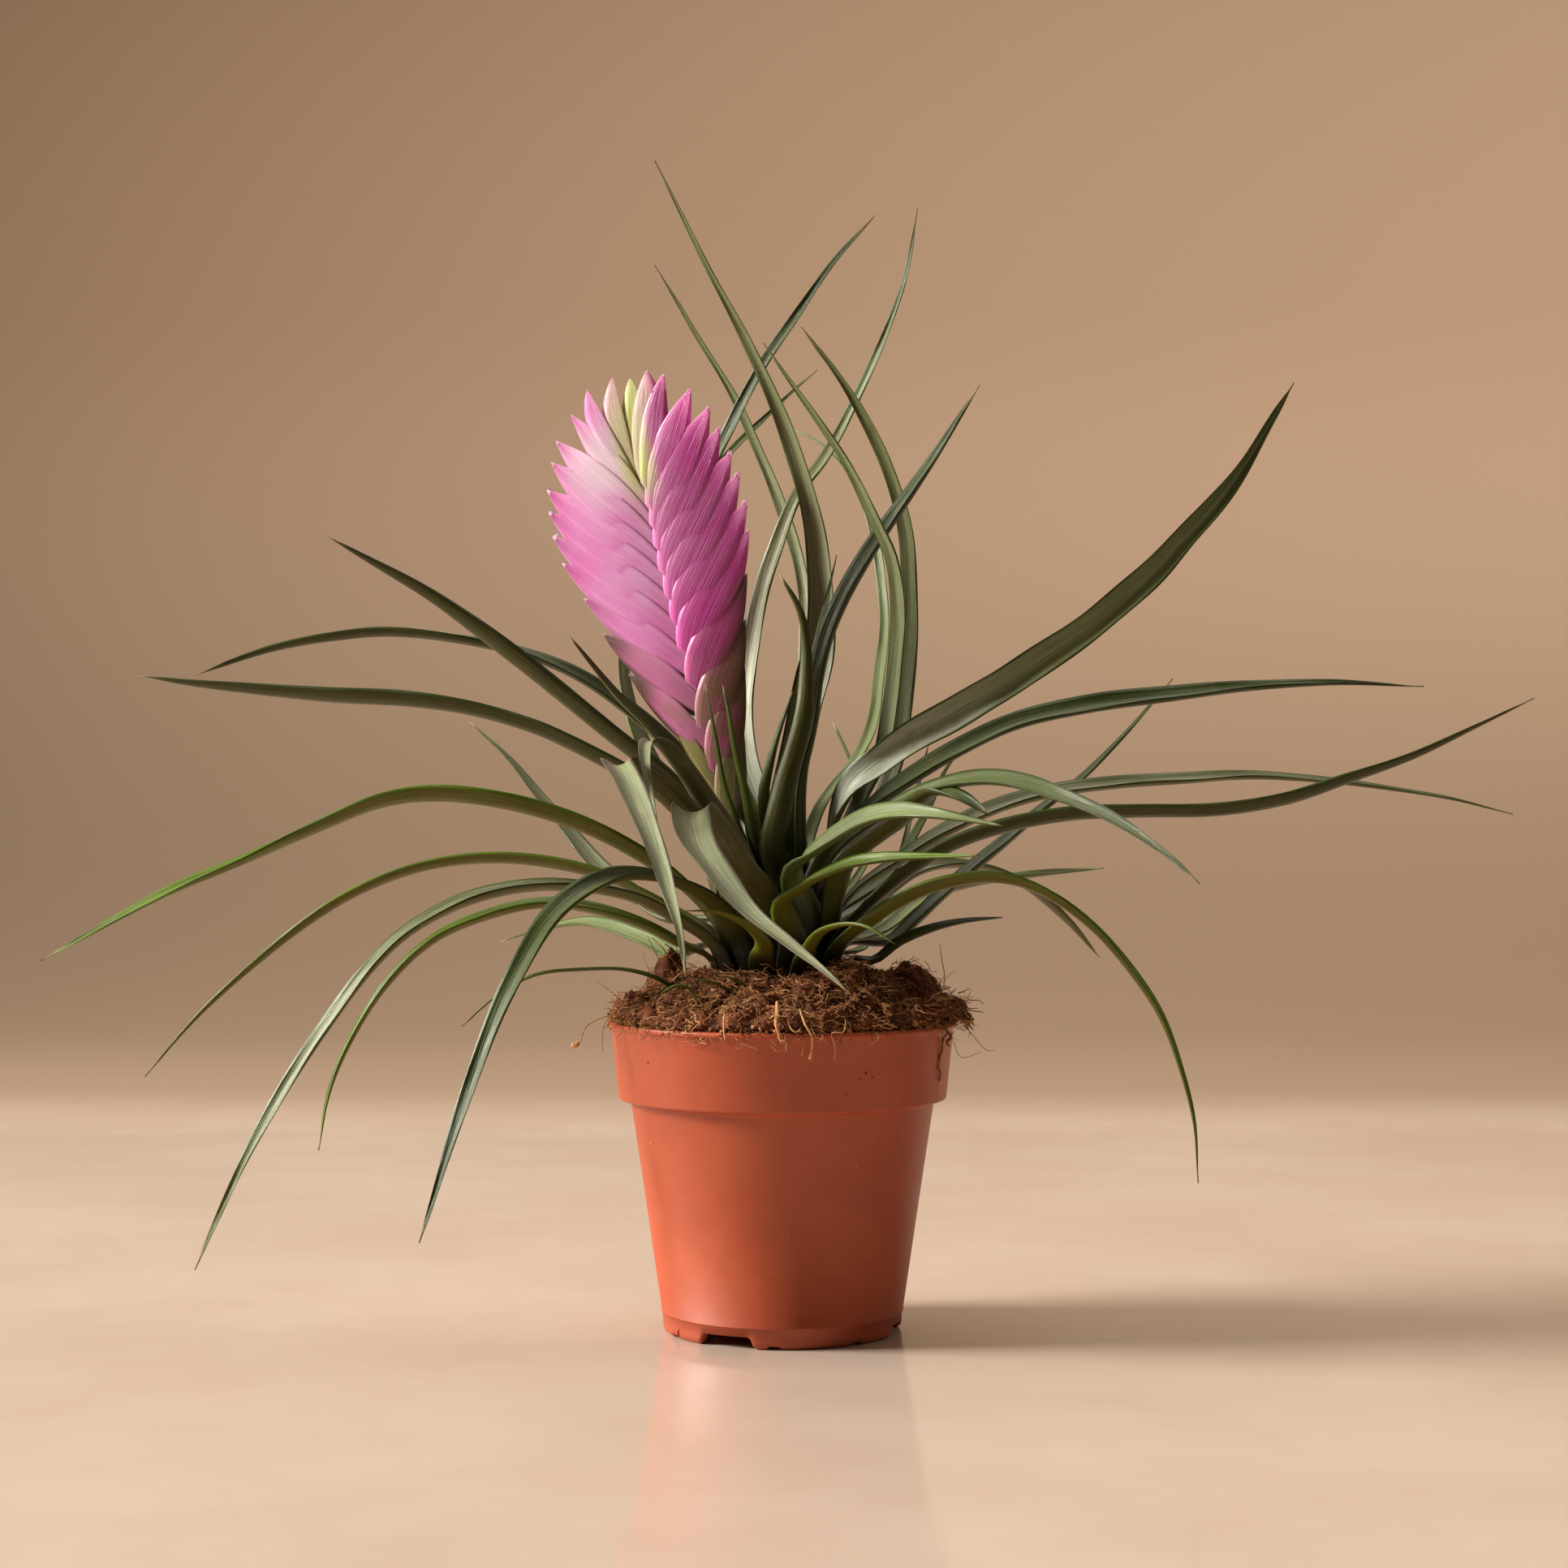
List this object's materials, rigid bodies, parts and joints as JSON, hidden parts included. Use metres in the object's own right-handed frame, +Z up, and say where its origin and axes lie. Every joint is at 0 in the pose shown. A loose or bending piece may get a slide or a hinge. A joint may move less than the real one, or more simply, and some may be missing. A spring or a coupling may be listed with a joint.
{
  "type": "pink quill",
  "caption": "Potted bromeliad with long, thin arching leaves and a flat pink paddle of bracts, growing in coir in a tapered terracotta-coloured plastic pot.",
  "frame": {"origin": "on the pot's axis, on the surface that the pot stands on", "axes": "+Z up, -Y towards the viewer, with the flat of the flower spike facing the viewer, and +X to the right along the leaves' widest spread"},
  "size_m": [0.3811, 0.262, 0.3047],
  "materials": {
    "pot": "satin",
    "coir": "matte",
    "leaf": "satin",
    "stem": "satin",
    "bract": "satin",
    "young_bract": "satin"
  },
  "bodies": {
    "root": {"pot": "pot", "coir": "coir", "stem": "stem", "flower_spike": "bract", "flower_spike_tip": "young_bract", "leaf_back_1": "leaf", "leaf_back_10": "leaf", "leaf_back_11": "leaf", "leaf_back_12": "leaf", "leaf_back_2": "leaf", "leaf_back_3": "leaf", "leaf_back_4": "leaf", "leaf_back_5": "leaf", "leaf_back_6": "leaf", "leaf_back_7": "leaf", "leaf_back_8": "leaf", "leaf_back_9": "leaf", "leaf_front_1": "leaf", "leaf_front_2": "leaf", "leaf_front_3": "leaf", "leaf_front_4": "leaf", "leaf_front_5": "leaf", "leaf_front_6": "leaf", "leaf_front_7": "leaf", "leaf_front_8": "leaf", "leaf_front_9": "leaf", "leaf_heart_1": "leaf", "leaf_heart_2": "leaf", "leaf_heart_3": "leaf", "leaf_heart_4": "leaf", "leaf_heart_5": "leaf", "leaf_left_1": "leaf", "leaf_left_2": "leaf", "leaf_left_3": "leaf", "leaf_left_4": "leaf", "leaf_left_5": "leaf", "leaf_left_6": "leaf", "leaf_left_7": "leaf", "leaf_left_8": "leaf", "leaf_left_9": "leaf", "leaf_low_1": "leaf", "leaf_low_2": "leaf", "leaf_low_3": "leaf", "leaf_low_4": "leaf", "leaf_right_1": "leaf", "leaf_right_2": "leaf", "leaf_right_3": "leaf", "leaf_right_4": "leaf", "leaf_right_5": "leaf", "leaf_right_6": "leaf", "leaf_right_7": "leaf", "leaf_upright_1": "leaf", "leaf_upright_2": "leaf", "leaf_upright_3": "leaf", "leaf_upright_4": "leaf", "leaf_upright_5": "leaf", "leaf_upright_6": "leaf", "leaf_upright_7": "leaf", "leaf_upright_8": "leaf"}
  },
  "joints": []
}
